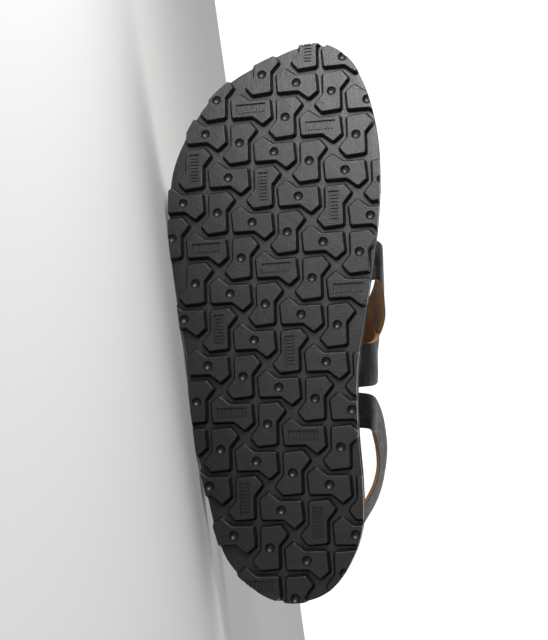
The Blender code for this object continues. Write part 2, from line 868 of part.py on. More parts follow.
def lay_on_side(objects):
    """Turns the sandal onto its little-toe side, over the middle of its own box on the floor."""
    down = resting_face(objects, balance_point(objects))
    up = -down
    toe = Vector((1, 0, 0))
    left = (toe - up * toe.dot(up)).normalized()
    turn = Matrix((-left, up.cross(-left), up)).to_4x4()
    corners = [turn @ v.co for item, _ in objects for v in item.data.vertices]
    low = Vector([min(p[k] for p in corners) for k in range(3)])
    high = Vector([max(p[k] for p in corners) for k in range(3)])
    shift = -Vector(((low.x + high.x) / 2, (low.y + high.y) / 2, low.z))
    stand = bpy.data.objects.new("lying", None)
    bpy.context.scene.collection.objects.link(stand)
    stand.matrix_world = Matrix.Translation(shift) @ turn
    for item, _ in objects:
        item.parent = stand


def main():
    rubber = material("lugged_rubber", (0.012, 0.012, 0.013), 0.45)
    foam = material("black_foam", (0.014, 0.013, 0.013), 0.85)
    footbed = material("brown_suede", (0.16, 0.08, 0.04), 0.9)
    leather = material("black_leather", (0.010, 0.009, 0.009), 0.5)
    metal = material("pale_nickel", (0.62, 0.57, 0.48), 0.25, 1.0)

    outsole = make_outsole(rubber)
    midsole = make_midsole(foam)
    insole = make_insole(footbed)
    cut_slots(midsole, insole)
    upper = make_upper(leather)
    route = heel_route()
    bar = route[0][-1] * BUCKLE_SHARE
    heel_strap = make_heel_strap(route, bar, leather)
    cut_prong_hole(heel_strap, route, bar)
    side_tab = make_side_tab(route, bar, leather)
    frame = make_buckle_frame(route, bar, metal)
    prong = make_prong(route, bar, metal)

    lay_on_side(
        [
            (outsole, DENSITY["outsole"]),
            (midsole, DENSITY["midsole"]),
            (insole, DENSITY["insole"]),
            (upper, DENSITY["leather"]),
            (heel_strap, DENSITY["leather"]),
            (side_tab, DENSITY["leather"]),
            (frame, DENSITY["metal"]),
            (prong, DENSITY["metal"]),
        ]
    )


main()
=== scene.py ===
import json
import math

import bpy
import numpy as np
from mathutils import Matrix, Vector, noise

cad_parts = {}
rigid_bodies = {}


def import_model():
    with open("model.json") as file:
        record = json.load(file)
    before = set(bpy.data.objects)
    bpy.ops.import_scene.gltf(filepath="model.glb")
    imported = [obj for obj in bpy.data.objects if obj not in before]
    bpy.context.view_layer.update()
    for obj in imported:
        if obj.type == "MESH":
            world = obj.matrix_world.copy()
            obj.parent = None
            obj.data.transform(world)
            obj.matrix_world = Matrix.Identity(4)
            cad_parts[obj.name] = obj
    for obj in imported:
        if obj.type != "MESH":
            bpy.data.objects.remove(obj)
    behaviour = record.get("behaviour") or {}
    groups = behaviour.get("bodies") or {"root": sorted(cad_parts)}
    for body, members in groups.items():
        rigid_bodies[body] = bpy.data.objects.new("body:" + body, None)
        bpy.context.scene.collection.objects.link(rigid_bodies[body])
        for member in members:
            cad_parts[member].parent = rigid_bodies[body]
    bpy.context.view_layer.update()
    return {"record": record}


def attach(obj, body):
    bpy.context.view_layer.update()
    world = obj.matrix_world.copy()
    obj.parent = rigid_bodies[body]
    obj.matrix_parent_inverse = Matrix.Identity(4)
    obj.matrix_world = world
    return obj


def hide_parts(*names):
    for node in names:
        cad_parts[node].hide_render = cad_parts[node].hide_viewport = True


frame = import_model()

# The sandal's own frame: x from heel to toe, y to the big-toe side, z up from the tread's face.
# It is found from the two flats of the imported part, whose places on the tread these are, in metres.
HEEL_FLAT_AT = (0.04428, -0.00208)
FOREFOOT_FLAT_AT = (0.16391, 0.00077)

# Sizes of the sole, in metres, as the part has them
LENGTH = 0.280
BALL_WIDTH = 0.110
HEEL_STACK = 0.025
FOREFOOT_STACK = 0.0175
TOE_SPRING = 0.004
TREAD_SHEET = 0.003
LUG_DEPTH = 0.003
LUG_PITCH = 0.01892
INSOLE_THICKNESS = 0.0022
HEEL_CUP = 0.003
ARCH_RISE = 0.004
FIT_GAP = 0.0003

# Sizes of the foot form, the straps and the buckle, in metres
INSTEP_HEIGHT = 0.066
TOE_BOX_HEIGHT = 0.034
HEEL_STRAP_HEIGHT = 0.060
STRAP_WIDTH = 0.022
HEEL_STRAP_WIDTH = 0.018
STRAP_THICKNESS = 0.0024
HEEL_STRAP_THICKNESS = 0.0020
STRAP_INSET = 0.0044
SLOT_DEPTH = 0.0055
STRAIGHT_RISE = 0.0012
STRAP_END_OVERLAP = 0.020
STRAP_END_POINT = 0.006
BUCKLE_WIRE = 0.0016
BUCKLE_LENGTH = 0.018
BUCKLE_SIDE_PLAY = 0.0008
PRONG_WIRE = 0.0014
BUCKLE_SHARE = 0.87
LIFT_START = 1.6
LIFT_END = 0.2

# The sole's outline: share of the length, then each edge's reach as a share of the ball width
OUTLINE = (
    # share, little-toe side, big-toe side
    (0.000, -0.018, 0.030),
    (0.018, 0.133, 0.174),
    (0.071, 0.275, 0.284),
    (0.125, 0.328, 0.336),
    (0.200, 0.368, 0.346),
    (0.300, 0.414, 0.338),
    (0.400, 0.426, 0.351),
    (0.500, 0.459, 0.403),
    (0.600, 0.490, 0.456),
    (0.700, 0.497, 0.492),
    (0.780, 0.475, 0.501),
    (0.840, 0.412, 0.490),
    (0.900, 0.311, 0.459),
    (0.950, 0.162, 0.408),
    (0.982, -0.020, 0.335),
    (1.000, -0.200, 0.209),
)
FLAT_END = 0.70
WAIST_START = 0.30
WAIST_END = 0.66
CUP_FADE = (0.15, 0.50)
ARCH_START = (0.20, 0.42)
ARCH_END = (0.46, 0.66)
EDGE_SHARE_STEP = 0.004
SOLE_ROWS = 90
SOLE_COLUMNS = 24

# One lug, seen from below: corners as shares of the pitch, to the big-toe side and to the heel
LUG_CORNERS = (
    # across, back
    (-0.329, -0.453),
    (-0.049, -0.221),
    (0.512, -0.221),
    (0.550, 0.275),
    (0.329, 0.453),
    (0.049, 0.221),
    (-0.512, 0.221),
    (-0.550, -0.275),
)
LUG_TURN = math.radians(0.8)
GRID_TURN = math.radians(19.8)
GRID_ORIGIN_SHARE = 0.799
GRID_ORIGIN_ACROSS = 0.020
GRID_REACH = 16
EDGE_LUG_SHARE = 0.28
# How a lug narrows from its foot in the sheet to its face: each step in from the edge, and down
LUG_FOOT_SPREAD = 0.0013
LUG_STEPS = (
    # in, down
    (0.00015, 0.00010),
    (0.00015, 0.00025),
    (0.00035, 0.00080),
    (0.00040, 0.00135),
    (0.00015, 0.00035),
    (0.00010, 0.00013),
    (0.00016, 0.00006),
    (0.00014, 0.00001),
)
LUG_CORNER_RADIUS = 0.0005
LUG_WAIST_RADIUS = 0.0004
LUG_CORNER_STEPS = 4
LEAST_LUG = 0.0024
DIMPLE_RADIUS = 0.00245
DIMPLE_DEPTH = 0.0016
LABEL_LENGTH = 0.0152
LABEL_WIDTH = 0.0052
LABEL_DEPTH = 0.0009
LABEL_RIBS = 8
LUG_FOOT_IN_SHEET = 0.00005
LUG_EDGE_ROUND = 0.0005
LABEL_MARGIN = 0.0008
RIB_HEIGHT = 0.0006
SHEET_INSET = 0.0003
FOOTBED_INSET = 0.0026
WALL_LEAN = 0.0018

# How the leather lies: its slow waves, its slight crown and the softness of its cut edges
WAVE_HEIGHT = 0.0010
WAVE_LENGTH = 0.028
WAVE_FADE = 0.12
CROWN = 0.0004
EDGE_ROUND = 0.0005
TAB_STEPS = 36
HOLE_SPACING = 0.009
HOLE_RADIUS = 0.0011
BUCKLE_CORNER = 0.0025

# Real sizes that the surface patterns are worked out from, in metres
RUBBER_GRAIN = 0.0008
RUBBER_SWELL = 0.007
FOAM_CELL = 0.0007
PEBBLE = 0.0011

# Instep straps: share of the length, reach as a share of the local half width, height as a share
# of the foot form's height there. The first and last rows are the strap's feet, at the sole's edge.
CROSS_STRAP_UNDER = (
    # along, across, up
    (0.598, 1.00, 0.00),
    (0.596, 0.99, 0.12),
    (0.583, 1.00, 0.28),
    (0.558, 1.00, 0.46),
    (0.530, 0.98, 0.62),
    (0.505, 0.88, 0.79),
    (0.486, 0.66, 0.93),
    (0.473, 0.30, 1.01),
    (0.463, -0.12, 1.00),
    (0.453, -0.54, 0.93),
    (0.443, -0.86, 0.76),
    (0.435, -1.03, 0.54),
    (0.427, -1.08, 0.32),
    (0.420, -1.00, 0.00),
)
CROSS_STRAP_OVER = (
    # along, across, up
    (0.740, -1.00, 0.00),
    (0.736, -0.99, 0.28),
    (0.724, -0.93, 0.55),
    (0.696, -0.78, 0.80),
    (0.650, -0.52, 0.97),
    (0.598, -0.16, 1.07),
    (0.548, 0.24, 1.08),
    (0.500, 0.62, 0.98),
    (0.462, 0.90, 0.76),
    (0.434, 1.04, 0.50),
    (0.416, 1.05, 0.26),
    (0.408, 1.00, 0.00),
)
VAMP_STRAP = (
    # along, across, up
    (0.770, 0.97, 0.00),
    (0.767, 0.91, 0.36),
    (0.758, 0.83, 0.66),
    (0.740, 0.58, 0.90),
    (0.712, 0.16, 0.99),
    (0.680, -0.34, 0.97),
    (0.650, -0.76, 0.80),
    (0.628, -0.99, 0.52),
    (0.615, -1.04, 0.30),
    (0.610, -1.00, 0.00),
)
# Heel loop: share of the length, reach as a share of the heel's half width, height as a share
# of the heel strap's height above the footbed. Its feet are at the sole's edge too.
HEEL_LOOP = (
    # along, across, up
    (0.329, 1.00, 0.00),
    (0.325, 1.07, 0.20),
    (0.310, 1.10, 0.40),
    (0.276, 1.11, 0.58),
    (0.230, 1.09, 0.74),
    (0.180, 0.97, 0.86),
    (0.128, 0.76, 0.95),
    (0.075, 0.46, 1.00),
    (0.045, 0.00, 1.02),
    (0.055, -0.38, 1.02),
    (0.105, -0.66, 1.00),
    (0.162, -0.86, 0.96),
    (0.210, -0.97, 0.87),
    (0.252, -1.02, 0.72),
    (0.290, -1.04, 0.50),
    (0.322, -1.03, 0.26),
    (0.336, -1.00, 0.00),
)
INSTEP_FALL = (0.36, 0.80)
FOOT_AXIS_HEIGHT = 0.25
ROUND_HEEL_END = 0.20
HEEL_STRAP_FLARE = 0.24
FLARE_START = 0.02
STRAP_RISE = 0.008
HEEL_STRAP_RISE = 0.006
CURVE_STEPS = 24
STRAP_STEPS = 96
HEEL_STEPS = 176
STRAP_COLUMNS = 8

# The camera, from a fit to the lugs' places in the photograph, in the sandal's own frame, and how
# far it is turned about its own place so that this one sandal is in the middle of the picture
CAMERA_AT = (0.07096, 0.0947, -0.51369)
CAMERA_RIGHT = (-0.05662, 0.99456, 0.08739)
CAMERA_DOWN = (-0.99098, -0.06663, 0.1163)
CAMERA_PAN = math.radians(5.95)
CAMERA_LENS_MM = 59.6
SENSOR_MM = 36.0


# The studio, in the row's frame: a soft box beyond the toe, and a room that glows behind the sandal
KEY_AT = (-0.42, -0.52, 0.16)
KEY_SIZE = 0.30
KEY_POWER = 5.0
GLOW_SIDE = (0.0, 1.0, 0.0)
ROOM_GLOW = 0.05
BACKDROP_GLOW = 1.15


# The sandal's own frame and its form

def lying_frame():
    """The matrix from the sandal's own frame to the row's, in which it lies on its side."""
    flats = {mount["name"]: mount for mount in frame["record"]["mounts"]}
    heel = Vector(flats["sole_heel_flat"]["pos_m"])
    forefoot = Vector(flats["sole_forefoot_flat"]["pos_m"])
    up = -Vector(flats["sole_heel_flat"]["axis"]).normalized()
    ahead = forefoot - heel
    ahead = (ahead - up * ahead.dot(up)).normalized()
    side = up.cross(ahead)
    turn = math.atan2(FOREFOOT_FLAT_AT[1] - HEEL_FLAT_AT[1], FOREFOOT_FLAT_AT[0] - HEEL_FLAT_AT[0])
    x_axis = ahead * math.cos(turn) - side * math.sin(turn)
    y_axis = ahead * math.sin(turn) + side * math.cos(turn)
    start = heel - x_axis * HEEL_FLAT_AT[0] - y_axis * HEEL_FLAT_AT[1]
    axes = Matrix((x_axis, y_axis, up)).transposed().to_4x4()
    return Matrix.Translation(start) @ axes


LYING = lying_frame()


def smoothstep(low, high, value):
    """Rises smoothly from 0 at low to 1 at high."""
    t = min(1.0, max(0.0, (value - low) / (high - low)))
    return t * t * (3 - 2 * t)


def round_share(share):
    """An angle that runs evenly round the blunt ends of the sole."""
    return math.acos(1 - 2 * min(1.0, max(0.0, share)))


def read_column(table, column, share):
    """A smooth curve through one column of a table whose first column is the share of the length."""
    places = [round_share(row[0]) for row in table]
    values = [row[column] for row in table]
    here = round_share(share)
    last = len(places) - 2
    i = min(last, max(0, sum(place <= here for place in places) - 1))

    def slope(k):
        low, high = max(0, k - 1), min(len(places) - 1, k + 1)
        return (values[high] - values[low]) / (places[high] - places[low])

    span = places[i + 1] - places[i]
    t = (here - places[i]) / span
    a, b = slope(i) * span, slope(i + 1) * span
    rise = values[i + 1] - values[i]
    return values[i] + t * (a + t * (3 * rise - 2 * a - b + t * (a + b - 2 * rise)))


def edge(share, side):
    """A point of the sole's outline: side is -1 for the little toe's and 1 for the big toe's."""
    reach = read_column(OUTLINE, 1 if side < 0 else 2, share) * BALL_WIDTH
    return Vector((share * LENGTH, side * reach, 0.0))


def edge_out(share, side):
    """The level direction that points straight out of the sole's edge."""
    step = EDGE_SHARE_STEP
    if share < step:
        return Vector((-1.0, 0.0, 0.0))
    if share > 1 - step:
        return Vector((1.0, 0.0, 0.0))
    along = edge(share + step, side) - edge(share - step, side)
    return Vector((-side * along.y, side * along.x, 0.0)).normalized()


def spring(share):
    """How far the toe is raised off the floor."""
    return TOE_SPRING * max(0.0, (share - FLAT_END) / (1 - FLAT_END)) ** 2


def midsole_top(share, across):
    """Height of the midsole's upper face: a heel cup, an arch and a lower forefoot."""
    drop = smoothstep(WAIST_START, WAIST_END, share)
    stack = HEEL_STACK + (FOREFOOT_STACK - HEEL_STACK) * drop
    cup = HEEL_CUP * across**4 * (1 - smoothstep(*CUP_FADE, share))
    bulge = smoothstep(*ARCH_START, share) * (1 - smoothstep(*ARCH_END, share))
    arch = ARCH_RISE * max(0.0, across) ** 2 * bulge
    return stack - INSOLE_THICKNESS + cup + arch + spring(share)


def insole_top(share, across):
    """Height of the footbed that the foot stands on."""
    return midsole_top(share, across) + FIT_GAP + INSOLE_THICKNESS


def middle(share):
    """The point midway across the sole, on the floor."""
    return (edge(share, -1) + edge(share, 1)) / 2


def half_width(share):
    return (edge(share, 1).y - edge(share, -1).y) / 2


def form_height(share):
    """Height of the foot form above the footbed, from the toe box up to the instep."""
    rise = 1 - smoothstep(*INSTEP_FALL, share)
    return TOE_BOX_HEIGHT + (INSTEP_HEIGHT - TOE_BOX_HEIGHT) * rise


def strap_foot(share, side):
    """Where a strap enters the sole, with the outward direction there."""
    out = edge_out(share, side)
    point = edge(share, side) - out * STRAP_INSET
    point.z = midsole_top(share, side)
    return point, out


def over_foot(row):
    """A point of an instep strap, from its row of shares."""
    share, across, up = row
    point = middle(share) + Vector((0, half_width(share) * across, 0))
    point.z = insole_top(share, 0.0) + form_height(share) * up
    return point


def round_heel(row):
    """A point of the heel strap, from its row of shares."""
    share, across, up = row
    heel = half_width(WAIST_START)
    centre = middle(WAIST_START).y
    return Vector(
        (share * LENGTH, centre + heel * across, HEEL_STACK + HEEL_STRAP_HEIGHT * up)
    )


def smooth_path(points, start, steps):
    """Evenly spaced points on a smooth curve through the given ones, leaving along start."""
    knots = [points[0] - start, *points]
    knots.append(points[-1] * 2 - points[-2])
    fine = []
    for i in range(1, len(knots) - 2):
        a, b, c, d = knots[i - 1 : i + 3]
        for k in range(CURVE_STEPS):
            t = k / CURVE_STEPS
            fine.append(
                (
                    b * 2
                    + (c - a) * t
                    + (a * 2 - b * 5 + c * 4 - d) * t**2
                    + (b * 3 - a - c * 3 + d) * t**3
                )
                / 2
            )
    fine.append(points[-1])
    lengths = [0.0]
    for a, b in zip(fine, fine[1:]):
        lengths.append(lengths[-1] + (b - a).length)
    wanted = [lengths[-1] * k / steps for k in range(steps + 1)]
    columns = [np.interp(wanted, lengths, [p[axis] for p in fine]) for axis in range(3)]
    return [Vector(point) for point in zip(*columns)]


def strap_frames(points, axis_of):
    """Width and outward directions along a strap, outward being away from the foot's middle."""
    frames = []
    for i, point in enumerate(points):
        along = (points[min(i + 1, len(points) - 1)] - points[max(i - 1, 0)]).normalized()
        out = point - axis_of(point)
        out = (out - along * out.dot(along)).normalized()
        frames.append((along.cross(out), out))
    return frames


def foot_axis(point):
    """The middle of the foot form beside a point of an instep strap."""
    share = point.x / LENGTH
    centre = middle(share)
    return Vector((point.x, centre.y, insole_top(share, 0.0) + form_height(share) * FOOT_AXIS_HEIGHT))


def heel_axis(point):
    """The middle of the heel beside a point of the heel strap, raised by the strap's flare."""
    centre = middle(ROUND_HEEL_END)
    x = centre.x if point.x < centre.x else point.x
    reach = math.hypot(point.x - x, point.y - centre.y)
    flare = HEEL_STRAP_FLARE * smoothstep(-FLARE_START, FLARE_START, point.y - centre.y)
    return Vector((x, centre.y, point.z + reach * flare))


def rooted(points, frames, share, side, at_start):
    """Adds the straight foot that reaches down into the sole to one end of a strap."""
    point, out = strap_foot(share, side)
    wide = frames[0][0] if at_start else frames[-1][0]
    level = Vector((-out.y, out.x, 0.0))
    level = level if level.dot(wide) > 0 else -level
    foot = point - Vector((0, 0, SLOT_DEPTH - FIT_GAP))
    if at_start:
        points[0] = point + Vector((0, 0, INSOLE_THICKNESS + STRAIGHT_RISE))
        return [foot, *points], [(level, out), (level, out), *frames[1:]]
    points[-1] = point + Vector((0, 0, INSOLE_THICKNESS + STRAIGHT_RISE))
    return [*points, foot], [*frames[:-1], (level, out), (level, out)]


def heel_route():
    """Distances, points and frames along the whole loop round the heel, from foot to foot."""
    points = [round_heel(row) for row in HEEL_LOOP]
    for end, side in ((0, 1), (-1, -1)):
        points[end] = strap_foot(HEEL_LOOP[end][0], side)[0]
        points[end].z += INSOLE_THICKNESS + STRAIGHT_RISE
    points = smooth_path(points, Vector((0, 0, HEEL_STRAP_RISE)), HEEL_STEPS)
    frames = strap_frames(points, heel_axis)
    points, frames = rooted(points, frames, HEEL_LOOP[0][0], 1, True)
    points, frames = rooted(points, frames, HEEL_LOOP[-1][0], -1, False)
    places = [0.0]
    for a, b in zip(points, points[1:]):
        places.append(places[-1] + (b - a).length)
    return places, points, frames


def at_place(route, place):
    """The point, width direction and outward direction at a distance along the route."""
    places, points, frames = route
    i = max(k for k in range(len(places) - 1) if places[k] <= place or k == 0)
    t = (place - places[i]) / (places[i + 1] - places[i])
    wide = frames[i][0].lerp(frames[i + 1][0], t).normalized()
    out = frames[i][1].lerp(frames[i + 1][1], t).normalized()
    return points[i].lerp(points[i + 1], t), wide, out


def strap_lift(place, bar):
    """How far the heel strap stands off its route, so that it passes over the side tab."""
    over = HEEL_STRAP_THICKNESS + FIT_GAP
    return over * smoothstep(bar - LIFT_START * BUCKLE_LENGTH, bar - LIFT_END * BUCKLE_LENGTH, place)


def buckle_place(route, bar):
    """The buckle's own frame: the middle of its bar, under the strap, and its directions.

    Along runs from the bar to the middle of the far rail, which lies over the strap.
    """
    point, wide, out = at_place(route, bar)
    bar_middle = point + out * HEEL_STRAP_THICKNESS / 2
    rail = bar - BUCKLE_LENGTH
    point, _, rail_out = at_place(route, rail)
    height = strap_lift(rail, bar) + HEEL_STRAP_THICKNESS + FIT_GAP + BUCKLE_WIRE / 2
    along = point + rail_out * height - bar_middle
    reach = along.length
    along.normalize()
    wide = (wide - along * wide.dot(along)).normalized()
    out = (out - along * out.dot(along) - wide * out.dot(wide)).normalized()
    return bar_middle, along, wide, out, reach


def inside_sole(point, margin):
    """Whether a level point lies inside the outline by at least the margin."""
    share = point.x / LENGTH
    if not 0.0 < share < 1.0:
        return False
    return edge(share, -1).y + margin < point.y < edge(share, 1).y - margin


# Ways of working that the pieces share

def apply_modifier(piece, kind, **settings):
    """Adds one modifier with its settings and applies it."""
    step = piece.modifiers.new(kind.lower(), kind)
    for name, value in settings.items():
        setattr(step, name, value)
    bpy.context.view_layer.objects.active = piece
    bpy.ops.object.modifier_apply(modifier=step.name)


def select_faces(piece, wanted):
    """Goes into edit mode with only those faces selected that the test wants."""
    bpy.ops.object.select_all(action="DESELECT")
    piece.select_set(True)
    bpy.context.view_layer.objects.active = piece
    bpy.ops.object.mode_set(mode="EDIT")
    bpy.ops.mesh.select_mode(type="FACE")
    bpy.ops.mesh.select_all(action="DESELECT")
    bpy.ops.object.mode_set(mode="OBJECT")
    for face in piece.data.polygons:
        face.select = wanted(face)
    bpy.ops.object.mode_set(mode="EDIT")


def join(name, pieces):
    """Makes one mesh of several."""
    bpy.ops.object.select_all(action="DESELECT")
    for piece in pieces:
        piece.select_set(True)
    bpy.context.view_layer.objects.active = pieces[0]
    bpy.ops.object.join()
    pieces[0].name = name
    return pieces[0]


def copy_of(piece, matrix):
    """A copy with a mesh of its own, put in its place."""
    copy = piece.copy()
    copy.data = piece.data.copy()
    bpy.context.scene.collection.objects.link(copy)
    copy.data.transform(matrix)
    return copy


def smooth(piece, degrees):
    """Shades a piece smoothly, except over edges sharper than the angle."""
    bpy.ops.object.select_all(action="DESELECT")
    piece.select_set(True)
    bpy.context.view_layer.objects.active = piece
    bpy.ops.object.shade_smooth_by_angle(angle=math.radians(degrees))


def lay_down(piece, node, slot, *materials):
    """Lays a finished piece on its side with the sandal, in place of the solid that it stands for."""
    piece.data.transform(LYING)
    for material in materials:
        piece.data.materials.append(material)
    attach(piece, "root")
    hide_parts(node)
    return piece


# The sole's layers

def sole_place(point):
    """The share of the length and the reach across, from -1 to 1, of a point of the sole."""
    share = min(1.0, max(0.0, point.x / LENGTH))
    across = (point.y - middle(share).y) / max(half_width(share), BALL_WIDTH / 50)
    return share, min(1.0, max(-1.0, across))


def sole_layer(name, outset, low, high):
    """A closed layer of the sole between two heights, which are functions of share and across."""
    bpy.ops.object.select_all(action="DESELECT")
    bpy.ops.mesh.primitive_grid_add(x_subdivisions=SOLE_ROWS, y_subdivisions=SOLE_COLUMNS, size=2)
    layer = bpy.context.object
    layer.name = name
    for vert in layer.data.vertices:
        share = (1 - math.cos(math.pi * (vert.co.x + 1) / 2)) / 2
        across = 0.0 if abs(vert.co.x) > 0.9999 else vert.co.y
        near = edge(share, -1) + edge_out(share, -1) * outset
        far = edge(share, 1) + edge_out(share, 1) * outset
        vert.co = near.lerp(far, (across + 1) / 2)
    select_faces(layer, lambda face: True)
    bpy.ops.mesh.remove_doubles(threshold=0.00001)
    bpy.ops.mesh.extrude_region_move(TRANSFORM_OT_translate={"value": (0, 0, 1)})
    bpy.ops.mesh.select_all(action="SELECT")
    bpy.ops.mesh.normals_make_consistent(inside=False)
    bpy.ops.object.mode_set(mode="OBJECT")
    for vert in layer.data.vertices:
        height = high if vert.co.z > 0.5 else low
        vert.co.z = height(*sole_place(vert.co))
    return layer


def round_rim(layer, radius):
    """Rounds the upper and lower edge of a layer's wall."""
    apply_modifier(
        layer, "BEVEL", width=radius, segments=4, limit_method="ANGLE", angle_limit=math.radians(55)
    )
    smooth(layer, 50)


def tread_sheet(rubber):
    """The rubber sheet that the lugs stand on, its edge just inside theirs."""
    sheet = sole_layer(
        "tread_sheet",
        -SHEET_INSET,
        lambda share, across: LUG_DEPTH + spring(share),
        lambda share, across: LUG_DEPTH + TREAD_SHEET + spring(share),
    )
    round_rim(sheet, 0.0003)
    lay_down(sheet, "outsole", "lugged_rubber", rubber)


def midsole_foam(foam):
    """The foam layer, ground to the outline with a softly rounded upper edge."""
    layer = sole_layer(
        "midsole_foam",
        0.0,
        lambda share, across: LUG_DEPTH + TREAD_SHEET + spring(share),
        midsole_top,
    )
    for vert in layer.data.vertices:
        share, across = sole_place(vert.co)
        if vert.co.z > (LUG_DEPTH + TREAD_SHEET + midsole_top(share, across)) / 2:
            centre = middle(share)
            inward = centre - Vector((vert.co.x, vert.co.y, 0))
            reach = max(inward.length, 0.001)
            vert.co += Vector((inward.x, inward.y, 0)) * min(1.0, WALL_LEAN / reach)
    round_rim(layer, 0.0012)
    lay_down(layer, "midsole", "foam", foam)


def footbed(suede):
    """The suede cover that the foot stands on, a little inside the foam's edge."""
    layer = sole_layer(
        "footbed",
        -FOOTBED_INSET,
        lambda share, across: midsole_top(share, across) - FIT_GAP,
        insole_top,
    )
    round_rim(layer, 0.0009)
    lay_down(layer, "insole", "suede", suede)


# The lugs

def lug_places():
    """Each lug's centre, whether it stands upright and whether it has a label in place of a dimple."""
    first = Vector((-math.sin(GRID_TURN), math.cos(GRID_TURN), 0.0)) * LUG_PITCH
    second = Vector((-math.cos(GRID_TURN), -math.sin(GRID_TURN), 0.0)) * LUG_PITCH
    origin = Vector((GRID_ORIGIN_SHARE * LENGTH, GRID_ORIGIN_ACROSS * BALL_WIDTH, 0.0))
    for i in range(-GRID_REACH, GRID_REACH + 1):
        for j in range(-GRID_REACH, GRID_REACH + 1):
            centre = origin + first * i + second * j
            upright = (i + j) % 2 == 1
            labelled = (j % 4 == 1 and upright) or (j % 4 == 3 and not upright)
            if inside_sole(centre, -LUG_PITCH * EDGE_LUG_SHARE):
                yield centre, upright, labelled


def lug_turn(centre, upright):
    """The matrix that puts the lug blank, or a cutter made with it, in its place on the tread."""
    angle = LUG_TURN + (math.pi / 2 if upright else 0.0)
    return Matrix.Translation(centre) @ Matrix.Rotation(angle, 4, "Z")


def lug_foot():
    """The outline of a lug's foot: its face's corners, spread by the draft and rounded."""
    corners = [Vector((-back, across)) * LUG_PITCH for across, back in LUG_CORNERS]
    count = len(corners)
    spread = []
    for k, here in enumerate(corners):
        one = (here - corners[k - 1]).normalized()
        two = (corners[(k + 1) % count] - here).normalized()
        out = Vector((one.y + two.y, -one.x - two.x))
        spread.append(here + out * LUG_FOOT_SPREAD / (1 + one.dot(two)))
    draft = sum(inward for inward, down in LUG_STEPS)
    ring = []
    for k, here in enumerate(spread):
        one = (here - spread[k - 1]).normalized()
        two = (spread[(k + 1) % count] - here).normalized()
        turn = math.atan2(one.x * two.y - one.y * two.x, one.dot(two))
        radius = LUG_CORNER_RADIUS + draft if turn > 0 else LUG_WAIST_RADIUS
        start = here - one * radius * math.tan(abs(turn) / 2)
        centre = start + Vector((-one.y, one.x)) * math.copysign(radius, turn)
        for step in range(LUG_CORNER_STEPS + 1):
            arm = Matrix.Rotation(turn * step / LUG_CORNER_STEPS, 2) @ (start - centre)
            ring.append(centre + arm)
    return ring


def lug_blank():
    """One lug: a narrow fillet at its foot, a drafted wall and a softly rounded face."""
    ring = lug_foot()
    bpy.ops.object.select_all(action="DESELECT")
    bpy.ops.mesh.primitive_circle_add(vertices=len(ring), fill_type="NGON")
    blank = bpy.context.object
    for vert, spot in zip(blank.data.vertices, ring):
        vert.co = (spot.x, spot.y, LUG_DEPTH + LUG_FOOT_IN_SHEET)
    bpy.ops.object.mode_set(mode="EDIT")
    bpy.ops.mesh.select_all(action="SELECT")
    bpy.ops.mesh.extrude_region_move(TRANSFORM_OT_translate={"value": (0, 0, TREAD_SHEET / 2)})
    bpy.ops.mesh.select_all(action="SELECT")
    bpy.ops.mesh.normals_make_consistent(inside=False)
    bpy.ops.object.mode_set(mode="OBJECT")
    select_faces(blank, lambda face: face.normal.z < -0.99)
    for inward, down in LUG_STEPS:
        bpy.ops.mesh.inset(thickness=inward, depth=down, use_even_offset=True)
    bpy.ops.object.mode_set(mode="OBJECT")
    return blank


def dimpled_lug(blank):
    """The plain lug, with a round dimple in the middle of its face."""
    ball_radius = (DIMPLE_RADIUS**2 + DIMPLE_DEPTH**2) / (2 * DIMPLE_DEPTH)
    bpy.ops.object.select_all(action="DESELECT")
    bpy.ops.mesh.primitive_uv_sphere_add(segments=24, ring_count=14, radius=ball_radius)
    ball = bpy.context.object
    ball.data.transform(Matrix.Translation((0, 0, DIMPLE_DEPTH - ball_radius)))
    lug = copy_of(blank, Matrix.Identity(4))
    apply_modifier(lug, "BOOLEAN", operation="DIFFERENCE", solver="EXACT", object=ball)
    bpy.data.objects.remove(ball)
    return lug


def labelled_lug(blank):
    """The lug with a shallow oblong recess, its floor crossed by low plain ribs."""
    bpy.ops.object.select_all(action="DESELECT")
    bpy.ops.mesh.primitive_cube_add(size=2)
    block = bpy.context.object
    block.data.transform(Matrix.Diagonal((LABEL_WIDTH / 2, LABEL_LENGTH / 2, LABEL_DEPTH, 1)))
    spacing = (LABEL_LENGTH - 2 * LABEL_MARGIN) / LABEL_RIBS
    for k in range(LABEL_RIBS):
        bpy.ops.object.select_all(action="DESELECT")
        bpy.ops.mesh.primitive_cube_add(size=2)
        rib = bpy.context.object
        rib.data.transform(Matrix.Diagonal((LABEL_WIDTH / 2 - LABEL_MARGIN, spacing / 4, RIB_HEIGHT, 1)))
        along = (k + 0.5 - LABEL_RIBS / 2) * spacing
        rib.data.transform(Matrix.Translation((0, along, LABEL_DEPTH)))
        apply_modifier(block, "BOOLEAN", operation="DIFFERENCE", solver="EXACT", object=rib)
        bpy.data.objects.remove(rib)
    lug = copy_of(blank, Matrix.Identity(4))
    apply_modifier(lug, "BOOLEAN", operation="DIFFERENCE", solver="EXACT", object=block)
    bpy.data.objects.remove(block)
    return lug


def drop_slivers(tread):
    """Takes away what the outline has left of a lug where it is too narrow to be moulded."""

    def sliver(face):
        if face.normal.z < 0.99:
            return False
        corners = [tread.data.vertices[v].co for v in face.vertices]
        around = sum((b - a).length for a, b in zip(corners, corners[1:] + corners[:1]))
        return 2 * face.area / around < LEAST_LUG

    select_faces(tread, sliver)
    bpy.ops.mesh.select_linked()
    bpy.ops.mesh.delete(type="VERT")
    bpy.ops.object.mode_set(mode="OBJECT")


